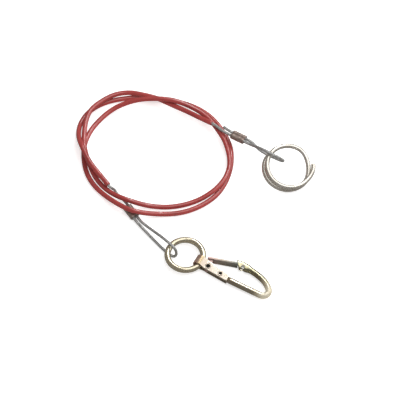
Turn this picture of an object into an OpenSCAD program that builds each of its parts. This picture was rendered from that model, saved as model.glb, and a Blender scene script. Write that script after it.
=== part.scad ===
// Breakaway cable: a red covered wire rope, coiled, with a split ring on one end
// and a welded round ring that carries a snap hook on the other.
// Everything lies on the plane z = 0, and +Z is up.

/* [Cable] */
// Outside diameter of the red covering
jacket_d = 4.8; // [4.5:0.1:4.8]
// Diameter of the bare wire rope
rope_d = 2.8; // [2.6:0.1:2.8]
// Rings of points along the covered length
jacket_rings = 78; // [60:1:80]

/* [Ferrules] */
// Length of each crimped ferrule
ferrule_len = 14; // [12:0.5:15]
// Radius of each of the two lobes of a ferrule
ferrule_lobe_r = 3; // [2.6:0.05:3]

/* [Round ring] */
// Wire diameter of the round ring
ring_wire_d = 5.8; // [5:0.1:6]
// Radius of the round ring at the middle of its wire
ring_r = 16.9; // [16.5:0.1:17.2]

/* [Split ring] */
// Wire diameter of the split ring
split_wire_d = 4.4; // [4:0.1:4.4]
// Radius of the split ring at the middle of its wire
split_r = 21.6; // [21:0.1:22]
// Turns of wire in the split ring
split_turns = 1.65; // [1.55:0.05:1.7]
// Tilt of the split ring, which leans on its rope loop
split_tilt = 15; // [12:1:16]

/* [Snap hook] */
// Diameter of the hook's bar
bar_d = 6; // [5.4:0.1:6.2]
// Height of the pressed gate strip
gate_h = 8; // [7.4:0.1:8]
// Thickness of the gate's sheet
gate_t = 0.7; // [0.6:0.05:0.75]
// Thickness of the eye strap's sheet
strap_t = 1; // [0.8:0.05:1.05]
// Width of the eye strap where it folds round the ring
strap_w = 9.6; // [8:0.2:9.6]

/* [Hidden] */

red = [0.66, 0.19, 0.19];
rope_grey = [0.50, 0.50, 0.48];
ferrule_grey = [0.55, 0.50, 0.46];
zinc = [0.86, 0.83, 0.70];
nickel = [0.76, 0.75, 0.72];
gate_grey = [0.48, 0.45, 0.42];

tube_sides = 8;              // sides of every swept tube
rope_fit = 0.1;              // gap between the rope and its covering
pin_fit = 0.05;              // gap round a rivet
split_sides = 10;            // sides of the split ring's wire
split_step = 10;             // degrees between rings of points on the split ring

// Middle of the covered cable, from the split ring's end to the hook's end.
// First turn, second turn, then the last half turn.
jacket_route = [
    [-7, 102.5, 11.8], [-19, 110.5, 10], [-32, 119.5, 8.5], [-46, 127.5, 7.4],
    [-60, 135.5, 7.3], [-74, 139.5, 7.4], [-88, 142.5, 7.4], [-103, 139.5, 7.4],
    [-115, 131.5, 7.5], [-126, 120.5, 7.5], [-130, 105, 7.5], [-131, 91, 7.5],
    [-130.5, 77, 7.5], [-126.5, 62, 6.9], [-121, 47, 5.2], [-112, 33, 5],
    [-99.5, 21.5, 7], [-86, 15, 7.6], [-72, 12.5, 3.8], [-57, 11, 2.45],
    [-43, 11.5, 2.45], [-28, 15.5, 2.45], [-15.5, 21, 3.9], [-3, 29.5, 6.9],
    [6.5, 43, 7.8], [10, 59, 7.7], [8, 74, 7.6], [4.5, 86.5, 7.6],
    [-2, 98.5, 7.6], [-10, 111, 7.7], [-22, 121, 8.6], [-35.5, 127, 11.1],
    [-49, 130.5, 12.4], [-63, 131.5, 12.4], [-77, 131.5, 11.1], [-90.5, 129.5, 7.9],
    [-104, 124.5, 4.3], [-116.5, 113, 2.45], [-125, 100, 2.45], [-130.5, 84.5, 2.45],
    [-131, 68, 2.45], [-128, 51, 2.45], [-120.5, 36, 2.45], [-109.5, 23, 4],
    [-97, 11, 7.6], [-85, 3, 9.2], [-71.5, 1, 7.1], [-57, 2.5, 3.1],
    [-42, 3.5, 2.45], [-27.5, 7.5, 2.45], [-14, 15, 2.45], [-2, 26, 2.45],
    [6.5, 41.5, 2.45], [11, 58, 2.45], [11.5, 74, 2.45], [8.5, 88, 2.45],
    [2, 102, 2.45], [-6.5, 114.5, 2.45], [-17.5, 124.5, 2.45], [-30.5, 131.5, 2.45],
    [-44.5, 136, 2.45], [-58, 138.5, 2.45], [-72.5, 140.5, 2.45], [-87, 139.5, 2.45],
    [-101.5, 137, 2.45], [-116, 131.5, 2.45], [-128, 121.5, 2.45], [-135, 107.5, 3.6],
    [-136.5, 91, 7.9], [-133.5, 77.5, 12.2], [-129.5, 66.5, 12.7], [-124.5, 56, 12.2],
    [-117, 45.5, 10.9], [-106.5, 31, 10]];

// Ferrule at the split ring's end: middle of its back end, and its direction.
ferrule_a = [12.7, 89, 12.6];
ferrule_a_dir = [12, -7.6, 0.8];
// Ferrule at the hook's end
ferrule_b = [-88.5, 10.7, 3.05];
ferrule_b_dir = [7.8, -11.6, 0];
lobe_x = 1.75;               // each lobe's distance from the middle of a ferrule

function unit(v) = v / norm(v);
// A point in a ferrule's own frame: along it, across it and above it.
function ferrule_point(base, dir, along, across) =
    base + along * unit(dir) + across * unit(cross([0, 0, 1], dir));

// Rope at the split ring's end: from its cut tail, through the ferrule, round both
// coils of the split ring, back through the ferrule and up to the covering.
function rope_a_points() = let (f = ferrule_a, d = ferrule_a_dir, n = ferrule_len) [
    ferrule_point(f, d, -12, lobe_x + 1.6), ferrule_point(f, d, -8, lobe_x + 0.7),
    ferrule_point(f, d, -3, lobe_x), ferrule_point(f, d, n + 3, lobe_x),
    ferrule_point(f, d, n + 8, lobe_x),
    [37.4, 72.9, 10.5], [43.2, 69.5, 9], [49.5, 66, 8.5], [55.5, 62.6, 8.7], [60, 59.4, 10],
    [62.5, 56, 14.5], [58.1, 56.2, 19.2], [52.5, 58.5, 21.4], [47.2, 61.2, 22],
    [41.5, 65.4, 21.2], [36, 69.9, 18.6],
    ferrule_point(f, d, n + 8, -lobe_x), ferrule_point(f, d, n + 3, -lobe_x),
    ferrule_point(f, d, -3, -lobe_x), ferrule_point(f, d, -8, -lobe_x)];

// Rope at the hook's end: from the covering, under the cable, through the ferrule,
// round the wire of the round ring and back to a short cut tail.
function rope_b_points() = let (f = ferrule_b, d = ferrule_b_dir, n = ferrule_len) [
    [-100.7, 29.7, 5], [-98.9, 26.9, 2.5], [-96.5, 24, 1.5],
    ferrule_point(f, d, -8, lobe_x), ferrule_point(f, d, -3, lobe_x), ferrule_point(f, d, n + 3, lobe_x),
    ferrule_point(f, d, n + 8, lobe_x),
    [-65, -17, 5.4], [-57.5, -25, 8.4], [-51.5, -32.5, 11.1], [-47, -37.5, 12.1],
    [-42, -42, 10.8], [-40.5, -45, 5.5], [-43, -46, 1.5], [-49, -42, 1.6],
    [-56.5, -33.5, 1.6], [-65, -23.5, 1.8],
    ferrule_point(f, d, n + 8, -lobe_x), ferrule_point(f, d, n + 3, -lobe_x),
    ferrule_point(f, d, -1, -lobe_x), ferrule_point(f, d, -3.5, -lobe_x - 0.6)];

// Uniform cubic B-spline through the first and last of its points.
function padded(p) = concat([2 * p[0] - p[1]], p, [2 * p[len(p) - 1] - p[len(p) - 2]]);
function spline_at(q, t) =
    let (i = min(floor(t), len(q) - 4), s = t - i)
    ((1 - s) ^ 3 * q[i] + (3 * s ^ 3 - 6 * s ^ 2 + 4) * q[i + 1]
     + (-3 * s ^ 3 + 3 * s ^ 2 + 3 * s + 1) * q[i + 2] + s ^ 3 * q[i + 3]) / 6;
function spline(p, count) =
    let (q = padded(p), last = len(q) - 3)
    [for (k = [0:count - 1]) spline_at(q, last * k / (count - 1))];
// Points moved a little so that the spline passes through the ones it is given.
function lifted(p) = [for (i = [0:len(p) - 1])
    i == 0 || i == len(p) - 1 ? p[i] : p[i] - (p[i - 1] - 2 * p[i] + p[i + 1]) / 6];

jacket_path = spline(lifted(jacket_route), jacket_rings);
start_dir = unit(jacket_path[0] - jacket_path[1]);
end_dir = unit(jacket_path[jacket_rings - 1] - jacket_path[jacket_rings - 2]);
start_lead = 3;              // straight rope just outside the covering
end_lead = 3;
rope_a_rings = 38;
rope_b_rings = 42;
rope_a_path = spline(concat(rope_a_points(),
    [jacket_path[0] + start_lead * start_dir, jacket_path[0]]), rope_a_rings);
rope_b_path = spline(concat([jacket_path[jacket_rings - 1],
    jacket_path[jacket_rings - 1] + end_lead * end_dir], rope_b_points()), rope_b_rings);
rope_path = concat([for (i = [0:rope_a_rings - 2]) rope_a_path[i]], jacket_path,
                   [for (i = [1:rope_b_rings - 1]) rope_b_path[i]]);
jacket_first = rope_a_rings - 1;

// A frame that turns as little as possible along a path, for sweeping a tube.
function heading(p, i) = unit(p[min(i + 1, len(p) - 1)] - p[max(i - 1, 0)]);
function carried(n, t) = unit(n - (n * t) * t);
function sides_along(p) = [
    for (i = 0, n = unit(cross(heading(p, 0), [0, 0, 1])); i < len(p);
         i = i + 1, n = carried(n, heading(p, min(i, len(p) - 1)))) n];
function tube_points(p, sides, r, count) = [
    for (i = [0:len(p) - 1], k = [0:count - 1])
    let (a = 360 * k / count, t = heading(p, i))
    p[i] + r * (cos(a) * sides[i] + sin(a) * cross(t, sides[i]))];
function skin(rings, count, first, flip) = [
    for (i = [0:rings - 2], k = [0:count - 1])
    let (a = first + i * count + k, b = first + i * count + (k + 1) % count)
    each (flip ? [[a, a + count, b + count], [a, b + count, b]]
               : [[a, b + count, a + count], [a, b, b + count]])];
function slice(list, first, count) = [for (i = [first:first + count - 1]) list[i]];

module solid_tube(p, sides, r, count) {
    polyhedron(tube_points(p, sides, r, count), concat(
        skin(len(p), count, 0, false),
        [[for (k = [count - 1:-1:0]) k]],
        [[for (k = [0:count - 1]) (len(p) - 1) * count + k]]), convexity = 10);
}

module hollow_tube(p, sides, r_out, r_in, count) {
    inner = len(p) * count;
    last = (len(p) - 1) * count;
    polyhedron(concat(tube_points(p, sides, r_out, count), tube_points(p, sides, r_in, count)),
        concat(skin(len(p), count, 0, false), skin(len(p), count, inner, true),
        [for (k = [0:count - 1]) [k, inner + k, inner + (k + 1) % count, (k + 1) % count]],
        [for (k = [0:count - 1]) [last + k, last + (k + 1) % count,
                                  inner + last + (k + 1) % count, inner + last + k]]),
        convexity = 10);
}

rope_sides = sides_along(rope_path);

module cable_jacket() {
    color(red) hollow_tube(jacket_path, slice(rope_sides, jacket_first, jacket_rings),
                           jacket_d / 2, rope_d / 2 + rope_fit, tube_sides);
}

module wire_rope() {
    color(rope_grey) solid_tube(rope_path, rope_sides, rope_d / 2, tube_sides);
}

// Stands a shape that runs along +Z, flat across X, along a ferrule's direction.
module along(base, dir) {
    d = unit(dir);
    x = unit(cross([0, 0, 1], dir));
    y = cross(d, x);
    multmatrix([[x[0], y[0], d[0], base[0]], [x[1], y[1], d[1], base[1]],
                [x[2], y[2], d[2], base[2]], [0, 0, 0, 1]]) children();
}

// Two-lobed crimped sleeve with a bore for each leg of the rope.
module ferrule(base, dir) {
    waist = 3.6;             // thickness at the valley between the lobes
    color(ferrule_grey) along(base, dir) linear_extrude(ferrule_len, convexity = 4)
        difference() {
            union() {
                for (s = [-1, 1]) translate([s * lobe_x, 0]) circle(ferrule_lobe_r, $fn = 32);
                square([2 * lobe_x, waist], center = true);
            }
            for (s = [-1, 1]) translate([s * lobe_x, 0]) circle(rope_d / 2 + pin_fit, $fn = 32);
        }
}

module ferrule_ring_end() { ferrule(ferrule_a, ferrule_a_dir); }
module ferrule_hook_end() { ferrule(ferrule_b, ferrule_b_dir); }

// Split ring: two coils of one wire that cross over near its cut end.
split_centre = [67, 51.3, 12.2];
split_axis = [0.766, 0.643, 0];  // horizontal line that the ring tilts about
split_start = 11;            // where the upper coil's cut end lies, in degrees
coil_shift = [-2.1, -1];     // how far the lower coil lies off the upper one
function ease(a, b, x) = let (t = min(1, max(0, (x - a) / (b - a)))) t * t * (3 - 2 * t);
function split_point(turn) =
    let (angle = split_start - 360 * turn,
         lead_out = 2.4 * (1 - ease(0, 0.14, turn)),
         tuck_in = 2.1 * ease(0.84, 0.99, turn) * (1 - ease(1.01, 1.16, turn)),
         r = split_r + lead_out - tuck_in,
         low = ease(0.88, 1.14, turn), aside = ease(1, 1.3, turn))
    [r * cos(angle) + aside * coil_shift[0], r * sin(angle) + aside * coil_shift[1],
     -(split_wire_d + 0.08) * low];

module split_ring() {
    count = floor(360 * split_turns / split_step) + 1;
    path = [for (i = [0:count - 1]) split_point(split_turns * i / (count - 1))];
    color(nickel) translate(split_centre) rotate(split_tilt, split_axis)
        solid_tube(path, sides_along(path), split_wire_d / 2, split_sides);
}

// Eye of the hook: where the ring's wire passes through the folded strap.
eye = [-17.8, -54, 5.25];
hook_turn = -28.5;            // direction of the hook, seen from above
hook_drop = 1.75;            // the hook slopes down to rest on its far end
ring_rise = 1.5;             // the ring slopes up to lie over the rope loop

module hook_frame() { translate(eye) rotate([0, hook_drop, hook_turn]) children(); }

module round_ring() {
    color(zinc) translate(eye) rotate([0, ring_rise, hook_turn]) translate([-ring_r, 0, 0])
        rotate_extrude($fn = 72) translate([ring_r, 0]) circle(ring_wire_d / 2, $fn = 24);
}

// The hook's own frame has X along the bar, Y towards the gate and Z up.
eye_x = -1;                  // middle of the fold, behind the ring's wire
eye_r = 4.2;                 // inside radius of the fold
leg_in = 2.1;                // half the space between the strap's legs
leg_out = leg_in + strap_t;
strap_end = 31;
fold_end = 5.4;              // the legs run parallel from here
pivot = [8.6, -2];
back_rivet = [22.6, -3.6];
pivot_r = 2.4;
back_r = 2;
shank_t = 2.4;               // thickness of the flattened shank
bar_y = -4.6;
bend_r = 5.6;
bend = [65.8, bar_y + bend_r];

// Side view of the strap: a fold round the ring's wire, and two legs.
function fold_arc(r, from, to) = [for (k = [0:22])
    let (a = from + (to - from) * k / 22) [eye_x + r * cos(a), r * sin(a)]];
module strap_side() {
    polygon(concat([[strap_end, leg_out], [fold_end, leg_out]], fold_arc(eye_r + strap_t, 70, 290),
        [[fold_end, -leg_out], [strap_end, -leg_out], [strap_end, -leg_in], [fold_end, -leg_in]],
        fold_arc(eye_r, 290, 70), [[fold_end, leg_in], [strap_end, leg_in]]));
}

module strap_plan() {
    w = strap_w / 2;
    polygon([[-8, -w], [-8, w], [1, w], [10, 2.8], [strap_end, -1.3], [strap_end, -7.7],
             [10, -6], [1, -w]]);
}

module eye_strap() {
    color(zinc) hook_frame() difference() {
        intersection() {
            rotate([90, 0, 0]) linear_extrude(4 * strap_w, center = true, convexity = 4)
                strap_side();
            linear_extrude(4 * eye_r, center = true) strap_plan();
        }
        translate(concat(pivot, [0])) cylinder(h = 4 * eye_r, r = pivot_r + pin_fit, center = true, $fn = 32);
        translate(concat(back_rivet, [0])) cylinder(h = 4 * eye_r, r = back_r + pin_fit, center = true, $fn = 32);
    }
}

// A bar bent to a radius: r is the bend's, from one angle to another.
// Each length of the bar is a shade thinner than the one it grows out of.
module bent_bar(centre, r, from, to, thinner) {
    translate(concat(centre, [0])) rotate([0, 0, from])
        rotate_extrude(angle = to - from, $fn = 96) translate([r, 0])
            circle(bar_d / 2 - thinner, $fn = 24);
}

arm_r = 26;                  // the arm leaves the bend on this radius
arm_turn = 42;
back_turn = 69;
back_r_arm = 56;             // and runs back to the nose on this one
nose_turn = 98;
arm_c = bend + (bend_r - arm_r) * [cos(arm_turn), sin(arm_turn)];
back_c = arm_c + (arm_r - back_r_arm) * [cos(back_turn), sin(back_turn)];
nose_y = 15;
nose_w = 8.6;
nose_t = 5;

module shank() {
    linear_extrude(shank_t, center = true, convexity = 4) difference() {
        polygon([[4, -4.6], [4, 3.4], [10, 2.3], [strap_end, -1.8], [38, -2.6], [38, -6.6],
                 [strap_end, -7.2], [10, -5.5]]);
        translate(pivot) circle(pivot_r + pin_fit, $fn = 32);
        translate(back_rivet) circle(back_r + pin_fit, $fn = 32);
    }
    translate([strap_end + 0.3, bar_y, 0]) rotate([0, 90, 0])
        cylinder(h = 3.5, r1 = leg_in, r2 = bar_d / 2, $fn = 32);
    translate([strap_end + 3.7, bar_y, 0]) rotate([0, 90, 0])
        cylinder(h = bend[0] - strap_end - 3.7, r = bar_d / 2, $fn = 32);
}

// Flat-sided nose, rounded where it runs into the arm.
module nose_pad() {
    linear_extrude(nose_t, center = true, convexity = 4) intersection() {
        translate([27, nose_y - nose_w / 2]) square([18, nose_w]);
        translate([34, nose_y]) circle(11, $fn = 96);
    }
}

module hook_body() {
    color(zinc) hook_frame() difference() {
        union() {
            shank();
            bent_bar(bend, bend_r, -90, arm_turn, 0);
            bent_bar(arm_c, arm_r, arm_turn - 1.2, back_turn, 0.05);
            bent_bar(back_c, back_r_arm, back_turn - 0.8, nose_turn, 0.1);
            nose_pad();
        }
        // end of the nose, cut on the line along which the gate swings away
        translate([31.8, nose_y, 0]) rotate([0, 0, -53]) translate([-7, -8, -5]) cube([14, 8, 10]);
        // slot for the gate's tongue, and the window over its inner end
        translate([28, 8, -1.3]) cube([10.6, 7.6, 2.6]);
        translate([35.6, 12.2, -4]) cube([3.6, 3.6, 8]);
    }
}

module rivet(at, r, head_r) {
    head = 0.4;
    top = leg_out + head;
    color(zinc) hook_frame() translate(concat(at, [0])) difference() {
        union() {
            cylinder(h = 2 * leg_out + 0.02, r = r, center = true, $fn = 32);
            for (s = [0, 1]) mirror([0, 0, s]) translate([0, 0, leg_out + 0.01])
                cylinder(h = head, r1 = head_r, r2 = head_r - 0.2, $fn = 32);
        }
        for (s = [0, 1]) mirror([0, 0, s]) translate([0, 0, top - 1.6])
            cylinder(h = 3, r = r - 0.5, $fn = 32);
    }
}

module rivet_front() { rivet(pivot, pivot_r, 3); }
module rivet_back() { rivet(back_rivet, back_r, 2.6); }

gate_turn = 16.9;            // the strip's slope away from the shank
gate_start = [3.7, 7];       // outer face of the strip at its back end
gate_len = 28.2;
gate_web = 0.8;
gate_flange = 2;             // depth of the strip, over its folded edges
tongue_w = 2;
ear_in = shank_t / 2 + 0.1;

module gate_ear() {
    difference() {
        union() {
            translate(pivot) circle(3.7, $fn = 32);
            polygon([[4.9, -2], [4.3, 6.8], [8.5, 8.1], [12.3, -2]]);
        }
        translate(pivot) circle(pivot_r + pin_fit, $fn = 32);
    }
}

module gate() {
    color(gate_grey) hook_frame() {
        difference() {
            translate(concat(gate_start, [0])) rotate([0, 0, gate_turn])
                translate([0, -gate_flange, -gate_h / 2]) difference() {
                    cube([gate_len + 2, gate_flange, gate_h]);
                    translate([-1, -1, gate_t])
                        cube([gate_len + 4, gate_flange - gate_web + 1, gate_h - 2 * gate_t]);
                }
            translate([31.2, 15, 0]) rotate([0, 0, -53]) translate([-20, 0, -5]) cube([40, 20, 10]);
        }
        translate([29, 14.2, -tongue_w / 2]) cube([6, gate_web, tongue_w]);
        for (s = [0, 1]) mirror([0, 0, s]) translate([0, 0, ear_in])
            linear_extrude(gate_t, convexity = 4) gate_ear();
    }
}

// Leaf spring: one leg lies on the shank, and its bend presses on the gate's heel.
module gate_spring() {
    t = 0.45;
    w = 2;
    bend_at = [8, 4.95];
    r = 2.2;
    slope = -11;             // the shank's edge slopes this way under the spring
    color(nickel) hook_frame() translate([0, 0, -w / 2]) linear_extrude(w, convexity = 4) {
        translate(bend_at) rotate(slope) difference() {
            circle(r, $fn = 48);
            circle(r - t, $fn = 48);
            translate([0.4, -2 * r]) square([2 * r, 4 * r]);
        }
        translate(bend_at) rotate(slope) translate([0.2, -r]) square([8.5, t]);
    }
}

cable_jacket();
wire_rope();
ferrule_ring_end();
ferrule_hook_end();
split_ring();
round_ring();
eye_strap();
hook_body();
rivet_front();
rivet_back();
gate();
gate_spring();
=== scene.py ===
import math
import bmesh
import bpy
from mathutils import Matrix, Vector


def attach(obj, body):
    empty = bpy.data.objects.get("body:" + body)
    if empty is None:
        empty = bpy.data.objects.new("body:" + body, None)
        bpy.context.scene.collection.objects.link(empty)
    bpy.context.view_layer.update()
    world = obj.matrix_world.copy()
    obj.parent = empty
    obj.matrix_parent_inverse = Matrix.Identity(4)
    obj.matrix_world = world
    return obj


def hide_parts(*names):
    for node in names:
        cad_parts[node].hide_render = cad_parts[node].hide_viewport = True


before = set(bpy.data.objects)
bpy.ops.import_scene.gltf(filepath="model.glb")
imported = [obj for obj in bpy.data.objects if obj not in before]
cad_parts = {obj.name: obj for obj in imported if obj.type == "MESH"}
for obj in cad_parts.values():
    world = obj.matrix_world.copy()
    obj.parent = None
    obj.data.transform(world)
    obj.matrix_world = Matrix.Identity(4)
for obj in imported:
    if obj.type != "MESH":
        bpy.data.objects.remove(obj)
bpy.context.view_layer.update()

MM = 0.001


# ---------------------------------------------------------------- camera
cam_data = bpy.data.cameras.new("camera")
cam = bpy.data.objects.new("camera", cam_data)
bpy.context.scene.collection.objects.link(cam)
bpy.context.scene.camera = cam
ELEVATION = math.radians(56)
DISTANCE, VIEW_WIDTH, SENSOR = 3.2, 0.384, 36
LOOK_AT = Vector((-0.0187, 0.0207, 0.0))
back = Vector((0, -math.cos(ELEVATION), math.sin(ELEVATION)))
cam.location = LOOK_AT + back * DISTANCE
cam.rotation_mode = "QUATERNION"
cam.rotation_quaternion = (-back).to_track_quat("-Z", "Y")
cam_data.sensor_width = SENSOR
cam_data.lens = SENSOR * DISTANCE / VIEW_WIDTH
cam_data.clip_start = 0.1
cam_data.clip_end = 50


# ---------------------------------------------------------------- the CAD model's sizes, in millimetres
JACKET_D, ROPE_D = 4.8, 2.8
FERRULE_LEN, LOBE_R, LOBE_X = 14.0, 3.0, 1.75
FERRULE_A, FERRULE_A_DIR = Vector((12.7, 89, 12.6)), Vector((12, -7.6, 0.8))
FERRULE_B, FERRULE_B_DIR = Vector((-88.5, 10.7, 3.05)), Vector((7.8, -11.6, 0))

# the eye of the hook: its place, and the way that the hook points from it
EYE, TURN = Vector((-17.8, -54, 5.25)), -28.5

JACKET_ROUTE = [
    (-7, 102.5, 11.8), (-19, 110.5, 10), (-32, 119.5, 8.5), (-46, 127.5, 7.4),
    (-60, 135.5, 7.3), (-74, 139.5, 7.4), (-88, 142.5, 7.4), (-103, 139.5, 7.4),
    (-115, 131.5, 7.5), (-126, 120.5, 7.5), (-130, 105, 7.5), (-131, 91, 7.5),
    (-130.5, 77, 7.5), (-126.5, 62, 6.9), (-121, 47, 5.2), (-112, 33, 5),
    (-99.5, 21.5, 7), (-86, 15, 7.6), (-72, 12.5, 3.8), (-57, 11, 2.45),
    (-43, 11.5, 2.45), (-28, 15.5, 2.45), (-15.5, 21, 3.9), (-3, 29.5, 6.9),
    (6.5, 43, 7.8), (10, 59, 7.7), (8, 74, 7.6), (4.5, 86.5, 7.6),
    (-2, 98.5, 7.6), (-10, 111, 7.7), (-22, 121, 8.6), (-35.5, 127, 11.1),
    (-49, 130.5, 12.4), (-63, 131.5, 12.4), (-77, 131.5, 11.1), (-90.5, 129.5, 7.9),
    (-104, 124.5, 4.3), (-116.5, 113, 2.45), (-125, 100, 2.45), (-130.5, 84.5, 2.45),
    (-131, 68, 2.45), (-128, 51, 2.45), (-120.5, 36, 2.45), (-109.5, 23, 4),
    (-97, 11, 7.6), (-85, 3, 9.2), (-71.5, 1, 7.1), (-57, 2.5, 3.1),
    (-42, 3.5, 2.45), (-27.5, 7.5, 2.45), (-14, 15, 2.45), (-2, 26, 2.45),
    (6.5, 41.5, 2.45), (11, 58, 2.45), (11.5, 74, 2.45), (8.5, 88, 2.45),
    (2, 102, 2.45), (-6.5, 114.5, 2.45), (-17.5, 124.5, 2.45), (-30.5, 131.5, 2.45),
    (-44.5, 136, 2.45), (-58, 138.5, 2.45), (-72.5, 140.5, 2.45), (-87, 139.5, 2.45),
    (-101.5, 137, 2.45), (-116, 131.5, 2.45), (-128, 121.5, 2.45), (-135, 107.5, 3.6),
    (-136.5, 91, 7.9), (-133.5, 77.5, 12.2), (-129.5, 66.5, 12.7), (-124.5, 56, 12.2),
    (-117, 45.5, 10.9), (-106.5, 31, 10)]

UP = Vector((0, 0, 1))


def ferrule_point(base, direction, along, across):
    """A place that far along a sleeve from its first end, and that far to its side."""
    return base + along * direction.normalized() + across * UP.cross(direction).normalized()


def at_a(along, across):
    """A place at the sleeve of the split ring's end."""
    return ferrule_point(FERRULE_A, FERRULE_A_DIR, along, across)


def at_b(along, across):
    """A place at the sleeve of the hook's end."""
    return ferrule_point(FERRULE_B, FERRULE_B_DIR, along, across)


ROPE_A = [at_a(-12, LOBE_X + 1.6), at_a(-8, LOBE_X + 0.7), at_a(-3, LOBE_X),
          at_a(FERRULE_LEN + 3, LOBE_X), at_a(FERRULE_LEN + 8, LOBE_X),
          (37.4, 72.9, 10.5), (43.2, 69.5, 9), (49.5, 66, 8.5), (55.5, 62.6, 8.7), (60, 59.4, 10),
          (62.5, 56, 14.5), (58.1, 56.2, 19.2), (52.5, 58.5, 21.4), (47.2, 61.2, 22),
          (41.5, 65.4, 21.2), (36, 69.9, 18.6),
          at_a(FERRULE_LEN + 8, -LOBE_X), at_a(FERRULE_LEN + 3, -LOBE_X),
          at_a(-3, -LOBE_X), at_a(-8, -LOBE_X)]
ROPE_B = [(-100.7, 29.7, 5), (-98.9, 26.9, 2.5), (-96.5, 24, 1.5),
          at_b(-8, LOBE_X), at_b(-3, LOBE_X),
          at_b(FERRULE_LEN + 3, LOBE_X), at_b(FERRULE_LEN + 8, LOBE_X),
          (-65, -17, 5.4), (-57.5, -25, 8.4), (-51.5, -32.5, 11.1), (-47, -37.5, 12.1),
          (-42, -42, 10.8), (-40.5, -45, 5.5), (-43, -46, 1.5), (-49, -42, 1.6),
          (-56.5, -33.5, 1.6), (-65, -23.5, 1.8),
          at_b(FERRULE_LEN + 8, -LOBE_X), at_b(FERRULE_LEN + 3, -LOBE_X),
          at_b(-1, -LOBE_X), at_b(-3.5, -LOBE_X - 0.6)]


# ---------------------------------------------------------------- curves and sweeps
def spline(points, count):
    """A uniform cubic B-spline from the first to the last of the points."""
    p = [Vector(q) for q in points]
    p = [2 * p[0] - p[1]] + p + [2 * p[-1] - p[-2]]
    last = len(p) - 3
    out = []
    for k in range(count):
        t = last * k / (count - 1)
        i = min(int(t), len(p) - 4)
        s = t - i
        out.append(((1 - s) ** 3 * p[i] + (3 * s ** 3 - 6 * s ** 2 + 4) * p[i + 1]
                    + (-3 * s ** 3 + 3 * s ** 2 + 3 * s + 1) * p[i + 2] + s ** 3 * p[i + 3]) / 6)
    return out


def lifted(points):
    """The points moved out, so that a spline through them rounds off less."""
    p = [Vector(q) for q in points]
    return [p[0]] + [p[i] - (p[i - 1] - 2 * p[i] + p[i + 1]) / 6 for i in range(1, len(p) - 1)] + [p[-1]]


def even(points, step):
    """The same line with points an even step apart."""
    out, need = [points[0]], step
    for a, b in zip(points, points[1:]):
        d = (b - a).length
        while need <= d:
            out.append(a.lerp(b, need / d))
            need += step
        need -= d
    if (out[-1] - points[-1]).length < step * 0.5:
        out[-1] = points[-1]
    else:
        out.append(points[-1])
    return out


def length(points):
    """The length of a line of points."""
    return sum((b - a).length for a, b in zip(points, points[1:]))


def frames(points, first=None):
    """Heading and two side directions at each point, turning as little as possible."""
    n = len(points)
    heads = [(points[min(i + 1, n - 1)] - points[max(i - 1, 0)]).normalized() for i in range(n)]
    side = first or heads[0].cross(UP)
    out = []
    for h in heads:
        side = (side - side.dot(h) * h).normalized()
        out.append((h, side, h.cross(side)))
    return out


def mesh_object(name, verts, faces, uvs=None, smooth=True):
    """An object from its points and faces. uvs(face, point) gives a place on the material."""
    me = bpy.data.meshes.new(name)
    me.from_pydata([tuple(v) for v in verts], [], faces)
    me.validate()
    if uvs:
        layer = me.uv_layers.new(name="UVMap")
        for poly in me.polygons:
            for li in poly.loop_indices:
                layer.data[li].uv = uvs(poly.index, me.loops[li].vertex_index)
    for poly in me.polygons:
        poly.use_smooth = smooth
    ob = bpy.data.objects.new(name, me)
    bpy.context.scene.collection.objects.link(ob)
    return ob


def sweep(name, points, section, first=None, scale=MM):
    """A tube of rings with closed ends: section(i, distance) gives each ring's (side, up) offsets in mm."""
    verts, faces, dist = [], [], [0.0]
    for a, b in zip(points, points[1:]):
        dist.append(dist[-1] + (b - a).length)
    for i, (p, (_, side, up)) in enumerate(zip(points, frames(points, first))):
        ring = section(i, dist[i])
        verts += [(p + x * side + y * up) * scale for x, y in ring]
    rings, count = len(points), len(ring)
    for i in range(rings - 1):
        for k in range(count):
            m = (k + 1) % count
            faces.append((i * count + k, i * count + m, (i + 1) * count + m, (i + 1) * count + k))
    faces.append(tuple(range(count - 1, -1, -1)))
    faces.append(tuple((rings - 1) * count + k for k in range(count)))

    def uv(face, vert):
        ring, k = divmod(vert, count)
        u = k / count
        if face < len(faces) - 2 and face % count == count - 1 and k == 0:
            u = 1.0
        return (u, dist[ring] * 0.01)

    return mesh_object(name, verts, faces, uv)


def circle(r, count):
    """Points round a circle, as pairs."""
    turns = [2 * math.pi * k / count for k in range(count)]
    return [(r * math.cos(a), r * math.sin(a)) for a in turns]


def outline(ob, angle):
    """Smooth shading that stays crisp at real edges."""
    for poly in ob.data.polygons:
        poly.use_smooth = True
    bm = bmesh.new()
    bm.from_mesh(ob.data)
    for e in bm.edges:
        if len(e.link_faces) == 2:
            e.smooth = e.calc_face_angle(0) < math.radians(angle)
    bm.to_mesh(ob.data)
    bm.free()
    return ob


def face_out(ob):
    """Turns every face outwards."""
    bm = bmesh.new()
    bm.from_mesh(ob.data)
    bmesh.ops.recalc_face_normals(bm, faces=bm.faces)
    bm.to_mesh(ob.data)
    bm.free()
    return ob


def soften(ob, width, segments, angle):
    """Rounds the edges that turn by more than the angle."""
    m = ob.modifiers.new("edges", "BEVEL")
    m.width = width * MM
    m.segments = segments
    m.limit_method = "ANGLE"
    m.angle_limit = math.radians(angle)
    return ob


def apply_modifiers(ob):
    """Keeps what the modifiers make of the mesh, and takes them off."""
    dg = bpy.context.evaluated_depsgraph_get()
    me = bpy.data.meshes.new_from_object(ob.evaluated_get(dg))
    ob.modifiers.clear()
    ob.data = me
    return ob


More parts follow.
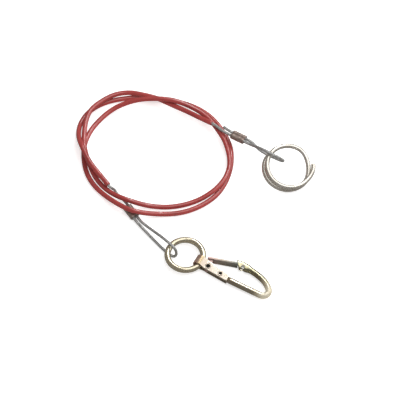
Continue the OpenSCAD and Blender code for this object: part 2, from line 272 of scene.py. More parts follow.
# ---------------------------------------------------------------- materials
class Look:
    """One Principled material and short ways to feed it."""

    def __init__(self, name, color, rough, metallic=0.0, **more):
        self.mat = bpy.data.materials.new(name)
        self.mat.use_nodes = True
        self.tree = self.mat.node_tree
        self.bsdf = self.tree.nodes["Principled BSDF"]
        self.bsdf.inputs["Base Color"].default_value = (*color, 1)
        self.bsdf.inputs["Roughness"].default_value = rough
        self.bsdf.inputs["Metallic"].default_value = metallic
        for key, value in more.items():
            self.bsdf.inputs[key.replace("_", " ")].default_value = value
        self.coord = self.tree.nodes.new("ShaderNodeTexCoord")

    def node(self, kind, **props):
        n = self.tree.nodes.new(kind)
        for key, value in props.items():
            setattr(n, key, value)
        return n

    def link(self, a, b):
        self.tree.links.new(a, b)

    def noise(self, scale, detail=4.0, rough=0.55, distortion=0.0):
        """A noise value fixed to the piece."""
        n = self.node("ShaderNodeTexNoise")
        n.inputs["Scale"].default_value = scale
        n.inputs["Detail"].default_value = detail
        n.inputs["Roughness"].default_value = rough
        n.inputs["Distortion"].default_value = distortion
        self.link(self.coord.outputs["Object"], n.inputs["Vector"])
        return n.outputs["Fac"]

    def ramp(self, fac, stops):
        """A colour, or a grey from a single number, from stops of (position, colour)."""
        n = self.node("ShaderNodeValToRGB")
        while len(n.color_ramp.elements) < len(stops):
            n.color_ramp.elements.new(0.5)
        for e, (pos, col) in zip(n.color_ramp.elements, stops):
            e.position = pos
            e.color = (*col, 1) if len(col) == 3 else (col[0], col[0], col[0], 1)
        self.link(fac, n.inputs["Fac"])
        return n.outputs["Color"]

    def mix(self, fac, a, b, blend="MIX"):
        """A colour between a and b. Each of the three is a socket or a value."""
        n = self.node("ShaderNodeMix", data_type="RGBA", blend_type=blend)
        for socket, value in ((n.inputs["Factor"], fac), (n.inputs["A"], a), (n.inputs["B"], b)):
            if hasattr(value, "links"):
                self.link(value, socket)
            elif isinstance(value, (int, float)):
                socket.default_value = value
            else:
                socket.default_value = (*value, 1)
        return n.outputs["Result"]

    def spread(self, fac, low, high):
        """0 to 1 stretched to low to high."""
        n = self.node("ShaderNodeMapRange")
        n.inputs["To Min"].default_value = low
        n.inputs["To Max"].default_value = high
        self.link(fac, n.inputs["Value"])
        return n.outputs["Result"]

    def colour(self, socket):
        self.link(socket, self.bsdf.inputs["Base Color"])

    def rough(self, socket):
        self.link(socket, self.bsdf.inputs["Roughness"])

    def bump(self, height, strength, distance_mm):
        n = self.node("ShaderNodeBump")
        n.inputs["Strength"].default_value = strength
        n.inputs["Distance"].default_value = distance_mm * MM
        self.link(height, n.inputs["Height"])
        self.link(n.outputs["Normal"], self.bsdf.inputs["Normal"])


def red_cover():
    """Glossy red PVC, slightly uneven in tone and surface."""
    m = Look("red_pvc_cover", (0.42, 0.046, 0.044), 0.2, 0.0, Coat_Weight=0.9, Coat_Roughness=0.05)
    m.bsdf.inputs["IOR"].default_value = 1.53
    tone = m.noise(38, 3)
    blot = m.noise(260, 2)
    base = m.ramp(tone, [(0.3, (0.32, 0.040, 0.040)), (0.7, (0.44, 0.062, 0.058))])
    m.colour(m.mix(m.spread(blot, 0.0, 0.25), base, (0.50, 0.085, 0.075)))
    m.rough(m.spread(m.noise(900, 2), 0.13, 0.24))
    m.bump(m.noise(420, 2), 0.12, 0.25)
    return m


def rope_steel():
    """Bare wire rope, with dark lines painted between its wires as the shade in the grooves, and some grime.
    """
    m = Look("galvanised_rope", (0.45, 0.45, 0.44), 0.3, 0.55)
    uv = m.coord.outputs["UV"]
    wave = m.node("ShaderNodeTexWave", wave_type="BANDS", bands_direction="X")
    wave.inputs["Scale"].default_value = 5.7
    wave.inputs["Distortion"].default_value = 0.0
    m.link(uv, wave.inputs["Vector"])
    grime = m.noise(700, 4)
    bright = m.ramp(grime, [(0.35, (0.36, 0.36, 0.35)), (0.7, (0.66, 0.66, 0.65))])
    # the wave's bands darken the steel towards grey: painted shade between the wires
    m.colour(m.mix(m.spread(wave.outputs["Fac"], 0.0, 0.35), bright, (0.16, 0.16, 0.16)))
    m.rough(m.spread(m.noise(1500, 2), 0.24, 0.42))
    m.bump(wave.outputs["Fac"], 0.5, 0.08)
    return m


def ferrule_metal():
    """The brownish dull metal of the crimped sleeves."""
    m = Look("crimped_sleeve", (0.42, 0.35, 0.31), 0.4, 0.6)
    tone = m.noise(420, 4)
    m.colour(m.ramp(tone, [(0.3, (0.24, 0.18, 0.16)), (0.7, (0.50, 0.40, 0.35))]))
    m.rough(m.spread(m.noise(1600, 3), 0.32, 0.5))
    m.bump(m.noise(1300, 4), 0.35, 0.12)
    return m


def place_along(m, low, high, axis=(1, 0, 0), start=(0, 0, 0)):
    """0 to 1 between two distances in millimetres along a direction, counted from a starting point."""
    shifted = m.node("ShaderNodeVectorMath", operation="SUBTRACT")
    m.link(m.coord.outputs["Object"], shifted.inputs[0])
    shifted.inputs[1].default_value = tuple(c * MM for c in start)
    along = m.node("ShaderNodeVectorMath", operation="DOT_PRODUCT")
    m.link(shifted.outputs["Vector"], along.inputs[0])
    along.inputs[1].default_value = axis
    place = m.node("ShaderNodeMapRange")
    place.inputs["From Min"].default_value = low * MM
    place.inputs["From Max"].default_value = high * MM
    m.link(along.outputs["Value"], place.inputs["Value"])
    return place.outputs["Result"]


def plated(name, pale, warm, dark, rough_low, rough_high, metallic=1.0, tint=None, shine=None):
    """Bright zinc or nickel plate with the slow colour changes of a passivate film.

    tint and shine change the colour and the metallic look along the piece: the ramp's stops
    and then what place_along is given."""
    m = Look(name, pale, rough_low, metallic)
    drift = m.noise(90, 3, 0.5, distortion=0.6)
    film = m.ramp(drift, [(0.30, pale), (0.52, warm), (0.72, dark)])
    if tint:
        place = place_along(m, *tint[1:])
        film = m.mix(1.0, film, m.ramp(place, tint[0]), "MULTIPLY")
    if shine:
        m.link(m.ramp(place_along(m, *shine[1:]), shine[0]), m.bsdf.inputs["Metallic"])
    speck = m.noise(1800, 3)
    m.colour(m.mix(m.spread(speck, 0.0, 0.22), film, tuple(c * 0.6 for c in warm)))
    m.rough(m.spread(m.noise(650, 3), rough_low, rough_high))
    m.bump(m.noise(1200, 3), 0.10, 0.08)
    return m


def gate_steel():
    """Sheet whose colour runs along its length from rose through olive to dark grey."""
    m = Look("gate_sheet", (0.25, 0.22, 0.2), 0.34, 0.6)
    film = m.ramp(place_along(m, -12, 16),
                  [(0.0, (0.78, 0.52, 0.49)), (0.25, (0.66, 0.50, 0.44)), (0.5, (0.52, 0.45, 0.36)),
                   (0.75, (0.42, 0.39, 0.33)), (1.0, (0.28, 0.30, 0.26))])
    grain = m.noise(600, 4)
    m.colour(m.mix(m.spread(grain, 0.0, 0.35), film, (0.16, 0.15, 0.14)))
    m.rough(m.spread(m.noise(900, 3), 0.26, 0.44))
    m.bump(m.noise(900, 4), 0.16, 0.1)
    return m


def recess_painted_shade():
    """The inside of a hollow rivet, dull and painted near black: painted shade deep in its recess."""
    m = Look("rivet_recess", (0.02, 0.019, 0.016), 0.7, 0.0)
    m.colour(m.ramp(m.noise(900, 3), [(0.3, (0.012, 0.011, 0.010)), (0.7, (0.035, 0.032, 0.026))]))
    m.bsdf.inputs["Specular IOR Level"].default_value = 0.1
    return m


def floor_paper():
    """A white light table: it glows, so that shadows on it stay faint."""
    m = Look("white_sweep", (0.8, 0.8, 0.8), 0.9)
    m.rough(m.spread(m.noise(30, 2), 0.85, 0.95))
    m.bsdf.inputs["Emission Color"].default_value = (1, 1, 1, 1)
    m.bsdf.inputs["Emission Strength"].default_value = 0.62
    return m


RED = red_cover()
ROPE = rope_steel()
FERRULE = ferrule_metal()
NICKEL = plated("plated_spring_wire", (0.90, 0.87, 0.82), (0.82, 0.78, 0.70), (0.72, 0.67, 0.61),
                0.12, 0.22, metallic=0.78)
ZINC = plated("yellow_zinc", (0.90, 0.85, 0.70), (0.84, 0.76, 0.56), (0.78, 0.67, 0.53),
              0.13, 0.24, metallic=0.86)
# the tints of the hook run from its eye, along it and across it
EYE_AT, TURN_COS, TURN_SIN = (EYE.x, EYE.y, 0), math.cos(math.radians(TURN)), math.sin(math.radians(TURN))
HOOK_X, HOOK_Y = (TURN_COS, TURN_SIN, 0), (-TURN_SIN, TURN_COS, 0)
STRAP_ZINC = plated("strap_zinc", (0.68, 0.62, 0.54), (0.65, 0.57, 0.48), (0.60, 0.51, 0.43), 0.16, 0.28,
                    tint=([(0.0, (0.86, 0.64, 0.62)), (0.30, (0.86, 0.64, 0.60)), (0.48, (0.80, 0.70, 0.44)),
                           (0.62, (1, 0.97, 0.95)), (1.0, (1, 1, 1))], -7, 8, HOOK_X, EYE_AT),
                    shine=([(0.0, (0.55,)), (0.4, (0.6,)), (0.6, (0.85,)), (1.0, (0.85,))],
                           -7, 8, HOOK_X, EYE_AT))
HOOK_ZINC = plated("hook_zinc", (0.82, 0.77, 0.63), (0.77, 0.69, 0.51), (0.73, 0.62, 0.50), 0.13, 0.24,
                   tint=([(0.0, (1, 1, 1)), (0.45, (1, 0.99, 0.96)), (0.62, (0.74, 0.78, 0.66)),
                          (1.0, (0.70, 0.75, 0.62))], 0, 20, HOOK_Y, EYE_AT),
                   # shine: the far bend is made nearly non-metallic so that the fill lamp lights it pale
                   # cream, a painted reflection of the white floor
                   shine=([(0.0, (1.0,)), (0.80, (1.0,)), (0.93, (0.30,)), (1.0, (0.18,))],
                          0, 73, HOOK_X, EYE_AT))
# painted light: a pale, barely metallic copy of the plating for the walls inside the nose's window
WINDOW = plated("nose_window", (0.93, 0.94, 0.90), (0.90, 0.90, 0.84), (0.86, 0.84, 0.78),
                0.2, 0.3, metallic=0.2)
RECESS_SHADE = recess_painted_shade()
GATE = gate_steel()
SPRING = plated("spring_strip", (0.55, 0.54, 0.52), (0.45, 0.44, 0.42), (0.36, 0.35, 0.34), 0.25, 0.4)


def finish_piece(ob, look, body, node):
    """Gives a piece its material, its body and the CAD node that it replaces."""
    ob.data.materials.clear()
    ob.data.materials.append(look.mat)
    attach(ob, body)
    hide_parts(node)
    return ob


# ---------------------------------------------------------------- the covered cable
JACKET_SAMPLES, ROPE_A_SAMPLES, ROPE_B_SAMPLES = 624, 608, 672
JACKET_STEP, ROPE_STEP, HIDDEN_STEP = 1.9, 0.75, 4
jacket_course = spline(lifted(JACKET_ROUTE), JACKET_SAMPLES)
jacket_line = even(jacket_course, JACKET_STEP)
jacket_start, jacket_end = jacket_line[0], jacket_line[-1]
start_dir = (jacket_line[0] - jacket_line[1]).normalized()
end_dir = (jacket_line[-1] - jacket_line[-2]).normalized()
JACKET_SIDES = 24


def jacket_section(i, d):
    """Round, closing a little at each cut end."""
    edge = min(i, len(jacket_line) - 1 - i)
    r = JACKET_D / 2 - (0.35 if edge == 0 else 0.08 if edge == 1 else 0)
    return circle(r, JACKET_SIDES)


def tip_points(line, part):
    """An extra point close to each end, so that the cut edge is rounded."""
    a = line[0].lerp(line[1], part)
    b = line[-1].lerp(line[-2], part)
    return [line[0], a] + line[1:-1] + [b, line[-1]]


jacket_line = tip_points(jacket_line, 0.12)
jacket = sweep("cover", jacket_line, jacket_section)
finish_piece(jacket, RED, "cable", "cable_jacket")

# ---------------------------------------------------------------- the wire rope
START_LEAD, END_LEAD = 3, 3
rope_a = spline(ROPE_A + [jacket_start + START_LEAD * start_dir, jacket_start], ROPE_A_SAMPLES)
rope_b = spline([jacket_end, jacket_end + END_LEAD * end_dir] + ROPE_B, ROPE_B_SAMPLES)
rope_a, rope_b = even(rope_a, ROPE_STEP), even(rope_b, ROPE_STEP)
inside = even(jacket_course, HIDDEN_STEP)
rope_line = rope_a[:-1] + inside + rope_b[1:]
STRANDS, PER_STRAND, LAY = 6, 6, 21.0


def rope_section(i, d):
    """Six strands twisted round the rope's middle."""
    turn = 2 * math.pi * d / LAY
    out, count = [], STRANDS * PER_STRAND
    for k in range(count):
        a = 2 * math.pi * k / count
        lobe = abs(math.sin(STRANDS * a / 2))
        r = ROPE_D / 2 * (0.80 + 0.20 * lobe ** 0.6)
        out.append((r * math.cos(a + turn), r * math.sin(a + turn)))
    return out


rope = sweep("rope", rope_line, rope_section)
finish_piece(rope, ROPE, "cable", "wire_rope")


# ---------------------------------------------------------------- ferrules
WAIST, BORE_R, BORE_WAIST = 1.9, 1.62, 1.1
PRESS_AT, PRESS_WIDTH, PRESS_DEPTH = (3.8, 10.2), 0.9, 0.16


def two_lobes(r, x, waist, count=48):
    """Outline of two round lobes with a valley between them."""
    out = []
    for k in range(count):
        a = 2 * math.pi * k / count
        c, s = math.cos(a), math.sin(a)
        # how far the outline is along this direction: on a lobe, or held in by the waist
        lobe = abs(c) * x + math.sqrt(max(r * r - (x * s) ** 2, 0))
        flat = waist / max(abs(s), 1e-6)
        bulge = lobe if lobe * abs(c) > x * 0.55 else min(lobe, max(flat, lobe * 0.9))
        out.append((bulge * c, bulge * s))
    return out


def ferrule(name, base, direction, node):
    """A crimped sleeve on the two runs of rope, with the press marks of the crimping tool."""
    along = [0, 0.25, 0.7, 1.4, 2.4, 3.4, 4.2, 5.0, 6.0, 7.0, 8.0, 9.0, 9.8, 10.6, 11.6, 12.6, 13.3,
             13.75, FERRULE_LEN]
    loops = []
    for z in along:
        edge = min(z, FERRULE_LEN - z)
        round_off = 0.34 * max(0.0, 1 - edge / 0.7) ** 2
        press = sum(PRESS_DEPTH * math.exp(-((z - at) / PRESS_WIDTH) ** 2) for at in PRESS_AT)
        loops.append((z, two_lobes(LOBE_R - round_off - press, LOBE_X, WAIST - press)))
    for z in (FERRULE_LEN, 11, 3, 0):
        loops.append((z, two_lobes(BORE_R, LOBE_X - 0.02, BORE_WAIST)))
    ahead = direction.normalized()
    side = UP.cross(direction).normalized()
    up = ahead.cross(side)
    verts, faces, count = [], [], len(loops[0][1])
    for z, ring in loops:
        verts += [(base + z * ahead + x * side + y * up) * MM for x, y in ring]
    for i in range(len(loops)):
        j = (i + 1) % len(loops)
        for k in range(count):
            m = (k + 1) % count
            faces.append((i * count + k, i * count + m, j * count + m, j * count + k))
    ob = mesh_object(name, verts, faces)
    face_out(ob)
    outline(ob, 40)
    return finish_piece(ob, FERRULE, "cable", node)


ferrule("sleeve_ring_end", FERRULE_A, FERRULE_A_DIR, "ferrule_ring_end")
ferrule("sleeve_hook_end", FERRULE_B, FERRULE_B_DIR, "ferrule_hook_end")


# ---------------------------------------------------------------- split ring
SPLIT_C, SPLIT_AXIS = Vector((67, 51.3, 12.2)), Vector((0.766, 0.643, 0))
SPLIT_R, SPLIT_D, SPLIT_TURNS, SPLIT_TILT, SPLIT_START = 21.6, 4.4, 1.65, 15, 11


def ease(a, b, x):
    """0 to 1 between a and b, starting and ending gently."""
    t = min(1.0, max(0.0, (x - a) / (b - a)))
    return t * t * (3 - 2 * t)


def split_point(turn):
    """The wire's middle after so many turns: one end sprung out, the second coil under the first."""
    angle = math.radians(SPLIT_START - 360 * turn)
    lead_out = 2.4 * (1 - ease(0, 0.14, turn))
    tuck_in = 2.1 * ease(0.84, 0.99, turn) * (1 - ease(1.01, 1.16, turn))
    r = SPLIT_R + lead_out - tuck_in
    low, aside = ease(0.88, 1.14, turn), ease(1, 1.3, turn)
    return Vector((r * math.cos(angle) - 2.1 * aside, r * math.sin(angle) - 1.0 * aside,
                   -(SPLIT_D + 0.08) * low))


SPLIT_STEPS, WIRE_SIDES = 240, 28
tilt = Matrix.Rotation(math.radians(SPLIT_TILT), 4, SPLIT_AXIS.normalized())
split_line = [SPLIT_C + (tilt @ split_point(SPLIT_TURNS * k / SPLIT_STEPS)) for k in range(SPLIT_STEPS + 1)]
split_line = tip_points(split_line, 0.25)


def split_section(i, d):
    """A round wire with its two cut ends rounded."""
    edge = min(i, len(split_line) - 1 - i)
    return circle(SPLIT_D / 2 - (0.30 if edge == 0 else 0.07 if edge == 1 else 0), WIRE_SIDES)


split_ring = sweep("split_ring_wire", split_line, split_section)
outline(split_ring, 40)
finish_piece(split_ring, NICKEL, "split_ring_body", "split_ring")

# ---------------------------------------------------------------- round ring
DROP, RISE = 1.75, 1.5
RING_R, RING_D, RING_STEPS, WELD_AT = 16.9, 5.8, 144, 112


def placed(drop):
    """The eye's place, turned to the hook's direction and tipped down by so many degrees."""
    return (Matrix.Translation(EYE) @ Matrix.Rotation(math.radians(TURN), 4, "Z")
            @ Matrix.Rotation(math.radians(drop), 4, "Y"))


RING_AT, HOOK_AT = placed(RISE), placed(DROP)
ring_line = []
for k in range(RING_STEPS):
    a = 2 * math.pi * k / RING_STEPS
    ring_line.append(RING_AT @ Vector((-RING_R + RING_R * math.cos(a), RING_R * math.sin(a), 0)))


def ring_section(i, d):
    """A round wire with the slight collar of its weld."""
    a = 2 * math.pi * i / RING_STEPS - math.radians(WELD_AT)
    weld = 0.05 * math.exp(-(a / 0.07) ** 2)
    return circle(RING_D / 2 + weld, WIRE_SIDES)


def closed_sweep(name, points, section, axis):
    """A closed ring of wire: its side direction points away from the middle."""
    middle = sum(points, Vector()) / len(points)
    verts, faces = [], []
    for i, p in enumerate(points):
        out = (p - middle).normalized()
        ring = section(i, 0)
        verts += [(p + x * out + y * axis) * MM for x, y in ring]
    count = len(ring)
    for i in range(len(points)):
        j = (i + 1) % len(points)
        for k in range(count):
            m = (k + 1) % count
            faces.append((i * count + k, j * count + k, j * count + m, i * count + m))
    return mesh_object(name, verts, faces)


ring_axis = (RING_AT.to_3x3() @ UP).normalized()
round_ring = closed_sweep("welded_ring", ring_line, ring_section, ring_axis)
finish_piece(round_ring, ZINC, "round_ring_body", "round_ring")


# ---------------------------------------------------------------- shapes cut and joined
def solid_mod(ob, other, operation):
    """Cuts the other shape from this one or joins the two, and uses the other shape up."""
    m = ob.modifiers.new(operation, "BOOLEAN")
    m.operation = operation
    m.solver = "EXACT"
    m.object = other
    apply_modifiers(ob)
    bpy.data.objects.remove(other)
    return ob


def cut(ob, *others):
    """Takes the other shapes out of this one."""
    for other in others:
        solid_mod(ob, other, "DIFFERENCE")
    return ob


def join(ob, *others):
    """Adds the other shapes to this one."""
    for other in others:
        solid_mod(ob, other, "UNION")
    return ob


def box(low, high, matrix=None):
    """A block between two corners, for cutting with."""
    verts = [Vector((x, y, z)) for x in (low[0], high[0]) for y in (low[1], high[1])
             for z in (low[2], high[2])]
    faces = [(0, 1, 3, 2), (4, 6, 7, 5), (0, 4, 5, 1), (2, 3, 7, 6), (0, 2, 6, 4), (1, 5, 7, 3)]
    ob = mesh_object("block", verts, faces, smooth=False)
    if matrix:
        ob.data.transform(matrix)
    return ob


def plate(points, low, high, name="plate"):
    """An upright plate with that outline."""
    n = len(points)
    verts = [Vector((x, y, z)) for z in (low, high) for x, y in points]
    faces = [(k, (k + 1) % n, n + (k + 1) % n, n + k) for k in range(n)]
    faces += [tuple(range(n - 1, -1, -1)), tuple(range(n, 2 * n))]
    return mesh_object(name, verts, faces, smooth=False)


def rod(x, y, r, half):
    """An upright rod, for cutting with."""
    return plate([(x + a, y + b) for a, b in circle(r, 64)], -half, half, "rod")


def settle(ob, name):
    """Moves a piece of the hook from the hook's own millimetres to its place in metres."""
    ob.data.transform(Matrix.Scale(MM, 4) @ HOOK_AT)
    ob.name = name
    return ob


def block_of(a, b, n, count=40):
    """A ring between a circle and a rectangle: half width a, half height b, squareness n."""
    out = []
    for k in range(count):
        t = 2 * math.pi * (k + 0.5) / count
        c, s = math.cos(t), math.sin(t)
        r = (abs(c / a) ** n + abs(s / b) ** n) ** (-1 / n)
        out.append((r * c, r * s))
    return out


def blend_rows(rows, x):
    """The row of numbers at x, from a list of (x, numbers...), turning smoothly."""
    if x <= rows[0][0]:
        return rows[0][1:]
    for p, q in zip(rows, rows[1:]):
        if x <= q[0]:
            t = ease(p[0], q[0], x)
            return tuple(u + (v - u) * t for u, v in zip(p[1:], q[1:]))
    return rows[-1][1:]


# ---------------------------------------------------------------- snap hook
LEG_IN, STRAP_T, STRAP_END = 2.1, 1.0, 31
LEG_OUT, RUNNING = LEG_IN + STRAP_T, 0.05
EYE_X, EYE_R = -1, 4.2
PIVOT, PIVOT_R, HEAD_R = (8.6, -2), 2.4, 3.0
BACK, BACK_R, BACK_HEAD_R = (22.6, -3.6), 2.0, 2.6
BAR_Y, BAR_R = -4.6, 3.0
BEND, BEND_R = Vector((65.8, 1.0, 0)), 5.6
ARM_R, ARM_TURN, BACK_ARM_R, BACK_TURN, NOSE_TURN = 26, 42, 56, 69, 98
NOSE_X, NOSE_Y, NOSE_CUT = 31.8, 15, -53
SLOT = (28, 8, -1.3), (38.6, 15.6, 1.3)
NOSE_WINDOW = (35.6, 12.2, -4), (39.2, 15.8, 4)


def toward(degrees, r):
    """A step of length r in that direction."""
    return r * Vector((math.cos(math.radians(degrees)), math.sin(math.radians(degrees)), 0))


def arc(centre, r, start, stop, step):
    """Points on a round stretch, about so many degrees apart."""
    n = max(2, int(abs(stop - start) / step))
    return [centre + toward(start + (stop - start) * k / n, r) for k in range(n + 1)]


def rivet_hole(at, r, half):
    """A rod a little wider than the rivet, for cutting its hole with."""
    return rod(*at, r + RUNNING, half)


def hook_body():
    """The bar: a flat shank, a round bar and bend, and a flattened nose with a slot and a window."""
    arm_c = BEND + toward(ARM_TURN, BEND_R - ARM_R)
    back_c = arm_c + toward(BACK_TURN, ARM_R - BACK_ARM_R)
    shank = spline([(4, -0.6, 0), (6, -0.95, 0), (12, -1.9, 0), (18, -2.9, 0), (24, -3.85, 0), (28, -4.4, 0),
                    (31.5, BAR_Y, 0), (34, BAR_Y, 0), (37, BAR_Y, 0), (40, BAR_Y, 0)], 60)
    line = shank + [Vector((x, BAR_Y, 0)) for x in range(42, 65, 2)]
    line += arc(BEND, BEND_R, -90, ARM_TURN, 5)
    line += arc(arm_c, ARM_R, ARM_TURN, BACK_TURN, 2)[1:]
    line += arc(back_c, BACK_ARM_R, BACK_TURN, NOSE_TURN + 6, 1)[1:]
    line = even(line, 0.6)
    total = length(line)
    # distance from the eye's end, then half width, half thickness and squareness there
    rows = [(0, 3.9, 1.2, 9), (6, 3.9, 1.2, 9), (20, 2.95, 1.2, 9), (26.8, 2.75, 1.2, 6),
            (27.5, 2.85, 1.9, 2.8), (29.6, BAR_R, BAR_R, 2), (total - 21, BAR_R, BAR_R, 2),
            (total - 13.5, 4.0, 2.62, 3.2), (total - 9, 4.3, 2.5, 4.5), (total, 4.3, 2.5, 4.5)]
    bar = sweep("bar", line, lambda i, d: block_of(*blend_rows(rows, d)), scale=1, first=Vector((0, -1, 0)))
    end = Matrix.Translation((NOSE_X, NOSE_Y, 0)) @ Matrix.Rotation(math.radians(NOSE_CUT), 4, "Z")
    cut(bar, box((-7, -8, -5), (7, 0, 5), end), box(*SLOT), box(*NOSE_WINDOW),
        rivet_hole(PIVOT, PIVOT_R, 4), rivet_hole(BACK, BACK_R, 4))
    soften(bar, 0.28, 3, 40)
    apply_modifiers(bar)
    outline(bar, 45)
    # the faces inside the window get a pale, barely metallic copy of the plating: painted light where the
    # light catches them
    (x0, y0, _), (x1, y1, _) = NOSE_WINDOW
    rim = 0.3
    near = [x0 - rim < v.co.x < x1 + rim and y0 - rim < v.co.y < y1 + rim for v in bar.data.vertices]
    inside = [all(near[i] for i in face.vertices) and abs(face.normal.z) < 0.5
              for face in bar.data.polygons]
    settle(bar, "hook_bar")
    finish_piece(bar, HOOK_ZINC, "hook", "hook_body")
    bar.data.materials.append(WINDOW.mat)
    for face, bright in zip(bar.data.polygons, inside):
        face.material_index = int(bright)
    return bar


def blend_straight(rows, x):
    """The value at x, from a list of (x, value), in straight stretches."""
    if x <= rows[0][0]:
        return rows[0][1]
    for (xa, ya), (xb, yb) in zip(rows, rows[1:]):
        if x <= xb:
            return ya + (yb - ya) * (x - xa) / (xb - xa)
    return rows[-1][1]


def strap_edges(u):
    """The strap's lower and upper edge, across it, at a place along it."""
    low = blend_straight([(1, -4.8), (10, -6), (STRAP_END, -7.7)], u)
    high = blend_straight([(1, 4.8), (10, 2.8), (STRAP_END, -1.3)], u)
    return low, high


def eye_strap():
    """One strip of sheet folded round the ring's wire, with a leg on each face of the shank."""
    mid, r = LEG_IN + STRAP_T / 2, EYE_R + STRAP_T / 2
    side = [Vector((u, 0, mid)) for u in (STRAP_END, 28.5, 26, 23, 20, 17, 14, 11, 8, 5.6)]
    side += [Vector((EYE_X + r * math.cos(math.radians(a)), 0, r * math.sin(math.radians(a))))
             for a in range(64, 297, 8)]
    side += [Vector((p.x, 0, -p.z)) for p in reversed(side[:10])]
    side = [side[0]] + even(spline(lifted(side), 400), 0.8)[1:]
    columns = 15
    verts, faces = [], []
    for p in side:
        low, high = strap_edges(p.x)
        for c in range(columns):
            t = c / (columns - 1)
            verts.append(Vector((p.x, low + (high - low) * t, p.z)))
    for i in range(len(side) - 1):
        for c in range(columns - 1):
            a = i * columns + c
            faces.append((a, a + 1, a + columns + 1, a + columns))
    ob = mesh_object("strap", verts, faces)
    m = ob.modifiers.new("sheet", "SOLIDIFY")
    m.thickness = STRAP_T
    m.offset = 0
    m.use_even_offset = True
    apply_modifiers(ob)
    cut(ob, rivet_hole(PIVOT, PIVOT_R, 8), rivet_hole(BACK, BACK_R, 8))
    soften(ob, 0.2, 3, 50)
    apply_modifiers(ob)
    outline(ob, 45)
    settle(ob, "folded_strap")
    return finish_piece(ob, STRAP_ZINC, "hook", "eye_strap")


def rivet(name, at, r, head_r, node):
    """A hollow rivet: a domed rim on each face round a deep recess."""
    top, hollow = LEG_OUT + 0.4, r - 0.5
    # from the recess's floor, up its wall, over the rim and down to the strap
    half = [(0, top - 1.6), (hollow * 0.6, top - 1.58), (hollow - 0.15, top - 1.5), (hollow, top - 1.3),
            (hollow, top - 0.35), (hollow + 0.12, top - 0.12), (hollow + 0.35, top - 0.01),
            ((hollow + head_r) / 2, top), (head_r - 0.35, top - 0.03), (head_r - 0.1, top - 0.13),
            (head_r, top - 0.28), (head_r, LEG_OUT + 0.015), (r, LEG_OUT + 0.005)]
    profile = half + [(x, -z) for x, z in reversed(half)]
    count = 56
    verts, faces = [Vector((at[0], at[1], profile[0][1]))], []
    for x, z in profile[1:-1]:
        verts += [Vector((at[0] + a, at[1] + b, z)) for a, b in circle(x, count)]
    verts.append(Vector((at[0], at[1], profile[-1][1])))
    rings = len(profile) - 2
    for k in range(count):
        m = (k + 1) % count
        faces.append((0, 1 + k, 1 + m))
        faces.append((len(verts) - 1, 1 + (rings - 1) * count + m, 1 + (rings - 1) * count + k))
        for i in range(rings - 1):
            a, b = 1 + i * count, 1 + (i + 1) * count
            faces.append((a + k, b + k, b + m, a + m))
    ob = mesh_object(name, verts, faces)
    face_out(ob)
    flat = [v.co.copy() for v in ob.data.vertices]
    outline(ob, 50)
    settle(ob, name)
    finish_piece(ob, STRAP_ZINC, "hook", node)
    # the faces inside the hollow get the painted shade
    ob.data.materials.append(RECESS_SHADE.mat)
    for face in ob.data.polygons:
        reach = max(math.hypot(v.x - at[0], v.y - at[1]) for v in (flat[i] for i in face.vertices))
        if reach < hollow + 0.01:
            face.material_index = 1
    return ob


GATE_TURN, GATE_START, GATE_LEN, GATE_WEB, GATE_HALF = 16.9, (3.7, 7), 30.2, 0.8, 4.0
GATE_ACROSS, GATE_STEPS, GATE_BULGE = 24, 44, 0.10
FLANGE, FOLD, GATE_TIP_X = -2.0, 3.3, 31.2
EAR_IN, EAR_T, EAR_R = 1.3, 0.7, 3.7
TONGUE = (29, 14.2, -1), (35, 15, 1)


def gate():
    """The gate: a channel on edge with a rolled outer face, two ears on the pivot and a tongue."""
    strip_at = Matrix.Translation((*GATE_START, 0)) @ Matrix.Rotation(math.radians(GATE_TURN), 4, "Z")
    section = []
    for k in range(GATE_ACROSS + 1):
        z = -GATE_HALF + 2 * GATE_HALF * k / GATE_ACROSS
        section.append((-GATE_BULGE * (z / GATE_HALF) ** 2, z))
    section += [(FLANGE, GATE_HALF), (FLANGE, FOLD), (-GATE_WEB, FOLD), (-GATE_WEB, -FOLD),
                (FLANGE, -FOLD), (FLANGE, -GATE_HALF)]
    verts, faces, ring = [], [], len(section)
    for i in range(GATE_STEPS + 1):
        verts += [Vector((GATE_LEN * i / GATE_STEPS, y, z)) for y, z in section]
    for i in range(GATE_STEPS):
        for k in range(ring):
            m = (k + 1) % ring
            faces.append((i * ring + k, i * ring + m, (i + 1) * ring + m, (i + 1) * ring + k))
    faces.append(tuple(range(ring - 1, -1, -1)))
    faces.append(tuple(GATE_STEPS * ring + k for k in range(ring)))
    ob = mesh_object("strip", verts, faces)
    ob.data.transform(strip_at)
    face_out(ob)
    trim = Matrix.Translation((GATE_TIP_X, NOSE_Y, 0)) @ Matrix.Rotation(math.radians(NOSE_CUT), 4, "Z")
    cut(ob, box((-20, 0, -5), (20, 20, 5), trim))
    ear = [tuple(Vector(PIVOT) + toward(a, EAR_R).xy) for a in range(-178, 1, 6)]
    ear += [(12.3, -2), (8.5, 8.1), (4.3, 6.8), (4.9, -2)]
    for low, high in ((EAR_IN, EAR_IN + EAR_T), (-EAR_IN - EAR_T, -EAR_IN)):
        join(ob, plate(ear, low, high))
    join(ob, box(*TONGUE))
    cut(ob, rivet_hole(PIVOT, PIVOT_R, 5))
    soften(ob, 0.14, 2, 50)
    apply_modifiers(ob)
    outline(ob, 45)
    settle(ob, "gate_strip")
    return finish_piece(ob, GATE, "gate_body", "gate")


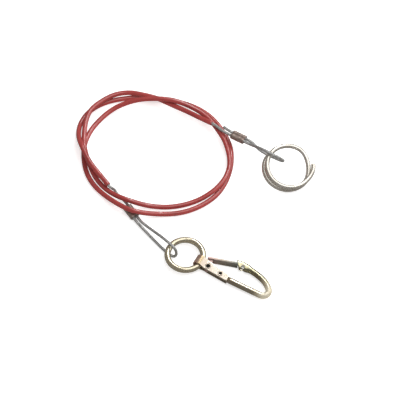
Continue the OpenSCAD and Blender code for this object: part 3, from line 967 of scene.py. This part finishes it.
def gate_spring():
    """A strip of spring steel bent to a hook, one leg of it lying on the shank."""
    t, w, r, slope = 0.45, 2.0, 2.2, -11
    at = Matrix.Translation((8, 4.95, 0)) @ Matrix.Rotation(math.radians(slope), 4, "Z")
    mid = r - t / 2
    line = [toward(a, mid) for a in range(79, 270, 6)]
    line += [Vector((x, -mid, 0)) for x in (0.0, 1.0, 2.0, 4.0, 6.0, 7.5, 8.7)]
    line = even(line, 0.3)
    ob = sweep("leaf", line, lambda i, d: block_of(t / 2, w / 2, 8, 24), scale=1, first=Vector((0, -1, 0)))
    ob.data.transform(at)
    outline(ob, 45)
    settle(ob, "leaf_spring")
    return finish_piece(ob, SPRING, "hook", "gate_spring")


hook_body()
eye_strap()
rivet("pivot_rivet", PIVOT, PIVOT_R, HEAD_R, "rivet_front")
rivet("strap_rivet", BACK, BACK_R, BACK_HEAD_R, "rivet_back")
gate()
gate_spring()


# ---------------------------------------------------------------- floor and light
FLOOR_CELLS, FLOOR_HALF, FLOOR_Z = 24, 2.5, -0.0002
marks = [-FLOOR_HALF + 2 * FLOOR_HALF * i / FLOOR_CELLS for i in range(FLOOR_CELLS + 1)]
row = len(marks)
corners = [i * row + j for i in range(FLOOR_CELLS) for j in range(FLOOR_CELLS)]
floor = mesh_object("floor", [(x, y, FLOOR_Z) for x in marks for y in marks],
                    [(a, a + row, a + row + 1, a + 1) for a in corners])
floor.data.materials.append(floor_paper().mat)
floor.visible_glossy = False


def lamp(name, at, to, size_x, size_y, power):
    """A rectangular lamp that faces a place. Places and sizes are in metres."""
    data = bpy.data.lights.new(name, "AREA")
    data.shape = "RECTANGLE"
    data.size, data.size_y = size_x, size_y
    data.energy = power
    ob = bpy.data.objects.new(name, data)
    bpy.context.scene.collection.objects.link(ob)
    ob.location = at
    ob.rotation_mode = "QUATERNION"
    ob.rotation_quaternion = (Vector(to) - Vector(at)).to_track_quat("-Z", "Y")
    return ob


lamp("softbox_top", (0.85, 0.62, 1.1), (0.85, 0.62, 0), 1.8, 1.9, 15.5)
lamp("softbox_right", (2.0, 0.9, 0.55), (0, 0, 0.1), 1.4, 0.8, 6)
lamp("strip", (0.25, 0.95, 1.05), (0.25, 0.95, 0), 0.09, 0.9, 3.2)
# the fill lights dull surfaces only, and doesn't show in the plating
fill = lamp("fill", (0.3, -0.2, 1.6), (0, 0, 0), 2.2, 2.2, 17)
fill.visible_glossy = False

world = bpy.data.worlds.new("studio")
bpy.context.scene.world = world
world.use_nodes = True
sky = world.node_tree.nodes["Background"]
sky.inputs["Color"].default_value = (1, 0.93, 0.86, 1)
sky.inputs["Strength"].default_value = 0.16
bpy.context.scene.view_settings.view_transform = "Standard"
bpy.context.scene.view_settings.look = "None"
